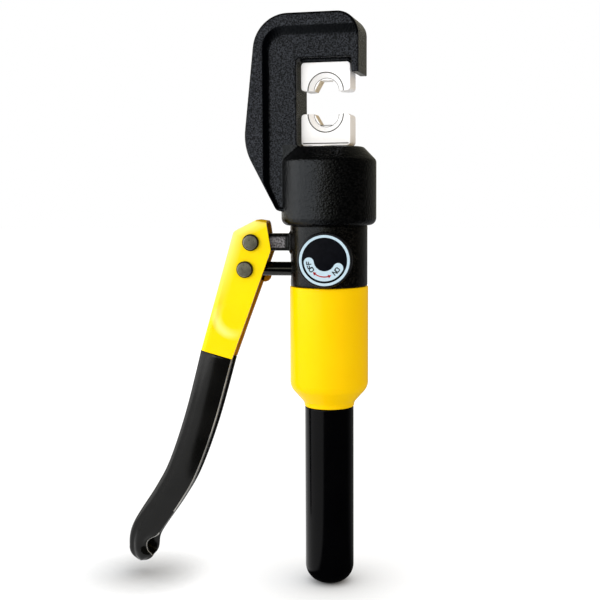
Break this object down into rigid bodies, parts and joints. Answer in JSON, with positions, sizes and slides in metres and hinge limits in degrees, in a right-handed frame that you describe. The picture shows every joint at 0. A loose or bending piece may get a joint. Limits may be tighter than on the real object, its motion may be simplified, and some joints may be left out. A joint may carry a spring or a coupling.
{
  "type": "hydraulic crimping tool",
  "caption": "Hand operated hydraulic crimping tool: a swivelling C-head with hex dies on a pump body, worked by a pump lever beside a fixed handle.",
  "frame": {"origin": "on the tool axis at the middle of the fixed grip's straight wall, where a hand or a clamp holds it", "axes": "+Z along the tool axis from the grip's butt to the crown of the head; the pump lever is on the -X side; the release knob faces -Y"},
  "size_m": [0.1427, 0.0522, 0.3155],
  "materials": {
    "black_casting": "black oxide over a fine cast grain",
    "yellow_paint": "gloss yellow enamel",
    "black_vinyl": "glossy dipped vinyl",
    "knob_plastic": "black moulded plastic",
    "label_film": "printed film",
    "plated_steel": "bright plating",
    "bright_steel": "ground steel",
    "dark_steel": "blackened steel",
    "bush_brass": "turned brass",
    "seal_rubber": "moulded rubber",
    "backup_plastic": "white seal plastic"
  },
  "bodies": {
    "pump": {"pump_body": "black_casting", "plunger_gland": "bright_steel", "plunger_seal": "seal_rubber", "inlet_seat": "bush_brass", "inlet_ball": "plated_steel", "inlet_spring": "bright_steel", "strainer": "bright_steel", "outlet_ball": "plated_steel", "outlet_spring": "bright_steel", "outlet_plug": "bright_steel", "release_ball": "plated_steel", "reservoir_shell": "yellow_paint", "oil_bladder": "seal_rubber", "bladder_clamp": "bright_steel", "handle_tube": "dark_steel", "tube_plug": "dark_steel", "fixed_grip": "black_vinyl", "retaining_ring": "bright_steel"},
    "head": {"c_head": "black_casting", "ram_guide_bush": "bush_brass", "upper_die": "plated_steel", "upper_die_ring": "bright_steel", "return_spring": "bright_steel"},
    "ram": {"ram": "bright_steel", "piston_seal": "seal_rubber", "backup_ring": "backup_plastic", "lower_die": "plated_steel", "lower_die_ring": "bright_steel"},
    "lever": {"lever_channel": "yellow_paint", "lever_grip": "black_vinyl", "fulcrum_pin": "dark_steel", "plunger_pin": "dark_steel", "pin_clips": "bright_steel"},
    "plunger": {"plunger": "bright_steel"},
    "knob": {"release_knob": "knob_plastic", "valve_stem": "bright_steel", "stem_seal": "seal_rubber", "knob_screw": "plated_steel", "knob_label": "label_film"}
  },
  "joints": [
    {"name": "head_swivel", "type": "hinge", "parent": "pump", "child": "head", "pos_m": [0, 0, 0.16], "axis": [0, 0, 1], "continuous": true},
    {"name": "ram_slide", "type": "slide", "parent": "head", "child": "ram", "axis": [0, 0, 1], "range_m": [0, 0.012], "stiffness_N_per_m": 2860, "springref_m": -0.01, "deforming": ["return_spring"]},
    {"name": "lever_pivot", "type": "hinge", "parent": "pump", "child": "lever", "pos_m": [-0.0423, 0, 0.1368], "axis": [0, 1, 0], "range_deg": [-16, 30]},
    {"name": "plunger_slide", "type": "slide", "parent": "pump", "child": "plunger", "axis": [-1, 0, 0], "range_m": [-0.0042, 0.0076]},
    {"name": "release_turn", "type": "hinge", "parent": "pump", "child": "knob", "pos_m": [0, -0.02, 0.1279], "axis": [0, -1, 0], "range_deg": [0, 120]}
  ],
  "couplings": [
    {"joint": "plunger_slide", "follows": "lever_pivot", "m_per_rad": 0.014}
  ]
}
